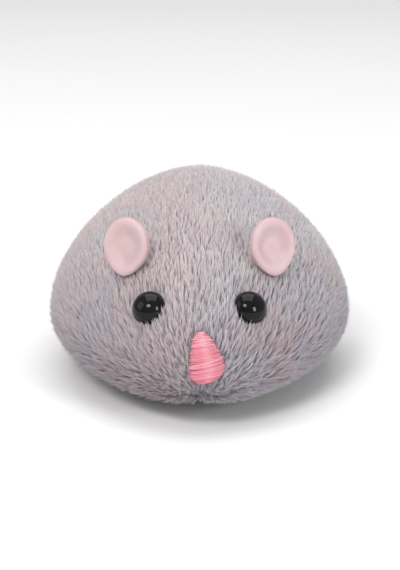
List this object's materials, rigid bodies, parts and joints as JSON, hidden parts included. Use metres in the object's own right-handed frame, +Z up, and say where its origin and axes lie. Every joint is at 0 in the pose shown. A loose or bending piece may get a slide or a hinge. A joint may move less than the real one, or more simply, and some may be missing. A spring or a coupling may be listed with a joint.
{
  "type": "clockwork mouse",
  "caption": "Plush clockwork mouse: a rounded furry body with vinyl ears and bead eyes over a wound-spring motor that drives two wheels.",
  "frame": {"origin": "on the floor under the middle of the body's length, in the centre plane", "axes": "+Z up, nose towards -Y and tail towards +Y, the mouse's left towards +X"},
  "size_m": [0.062, 0.1307, 0.0393],
  "materials": {
    "plush": "short-pile plush, clumped fibres",
    "embroidery": "satin-stitched thread",
    "soft_vinyl": "soft vinyl, satin",
    "eye_black": "polished",
    "washer_white": "moulded",
    "shell_grey": "moulded",
    "base_grey": "fine spark texture",
    "motor_case": "moulded",
    "gear_acetal": "moulded acetal",
    "spring_steel": "blued strip",
    "steel": "ground",
    "screw_steel": "zinc plated",
    "wheel_plastic": "moulded",
    "tyre_rubber": "matt, fine grooves",
    "knob_plastic": "moulded"
  },
  "bodies": {
    "body": {"base_plate": "base_grey", "body_shell_left": "shell_grey", "body_shell_right": "shell_grey", "plush_left": "plush", "plush_right": "plush", "left_ear": "soft_vinyl", "right_ear": "soft_vinyl", "ear_washers": "washer_white", "left_eye": "eye_black", "right_eye": "eye_black", "eye_washers": "washer_white", "nose_embroidery": "embroidery", "tail": "soft_vinyl", "motor_housing_left": "motor_case", "motor_housing_right": "motor_case", "housing_screws": "screw_steel", "motor_screws": "screw_steel", "base_screws": "screw_steel", "mainspring": "spring_steel", "gear_pins": "steel", "roller_pin": "steel"},
    "main_gear": {"main_gear": "gear_acetal", "click_pin": "steel"},
    "click": {"click": "gear_acetal"},
    "winder": {"winding_arbor": "steel", "ratchet_wheel": "gear_acetal", "winding_knob": "knob_plastic", "knob_screw": "screw_steel"},
    "second_gear": {"second_gear": "gear_acetal"},
    "third_gear": {"third_gear": "gear_acetal"},
    "drive_axle": {"drive_axle": "steel", "axle_pinion": "gear_acetal", "left_wheel": "wheel_plastic", "right_wheel": "wheel_plastic", "left_tyre": "tyre_rubber", "right_tyre": "tyre_rubber"},
    "front_roller": {"front_roller": "wheel_plastic"}
  },
  "joints": [
    {"name": "drive_axle_spin", "type": "hinge", "parent": "body", "child": "drive_axle", "pos_m": [0, 0.0095, 0.0085], "axis": [1, 0, 0], "continuous": true},
    {"name": "third_gear_spin", "type": "hinge", "parent": "body", "child": "third_gear", "pos_m": [0, 0.00306, 0.01548], "axis": [1, 0, 0], "continuous": true},
    {"name": "second_gear_spin", "type": "hinge", "parent": "body", "child": "second_gear", "pos_m": [0, 0.01152, 0.0198], "axis": [1, 0, 0], "continuous": true},
    {"name": "main_gear_spin", "type": "hinge", "parent": "body", "child": "main_gear", "pos_m": [0, 0.02, 0.0145], "axis": [1, 0, 0], "continuous": true},
    {"name": "winding", "type": "hinge", "parent": "main_gear", "child": "winder", "pos_m": [0, 0.02, 0.0145], "axis": [1, 0, 0], "continuous": true, "deforming": ["mainspring"]},
    {"name": "click_pivot", "type": "hinge", "parent": "main_gear", "child": "click", "pos_m": [0, 0.02537, 0.0176], "axis": [-1, 0, 0], "range_deg": [0, 10], "stiffness_Nm_per_rad": 0.0001},
    {"name": "front_roller_spin", "type": "hinge", "parent": "body", "child": "front_roller", "pos_m": [0, -0.019, 0.0045], "axis": [1, 0, 0], "continuous": true}
  ],
  "couplings": [
    {"joint": "third_gear_spin", "follows": "drive_axle_spin", "ratio": -0.35714},
    {"joint": "second_gear_spin", "follows": "drive_axle_spin", "ratio": 0.12755},
    {"joint": "main_gear_spin", "follows": "drive_axle_spin", "ratio": -0.042517}
  ]
}
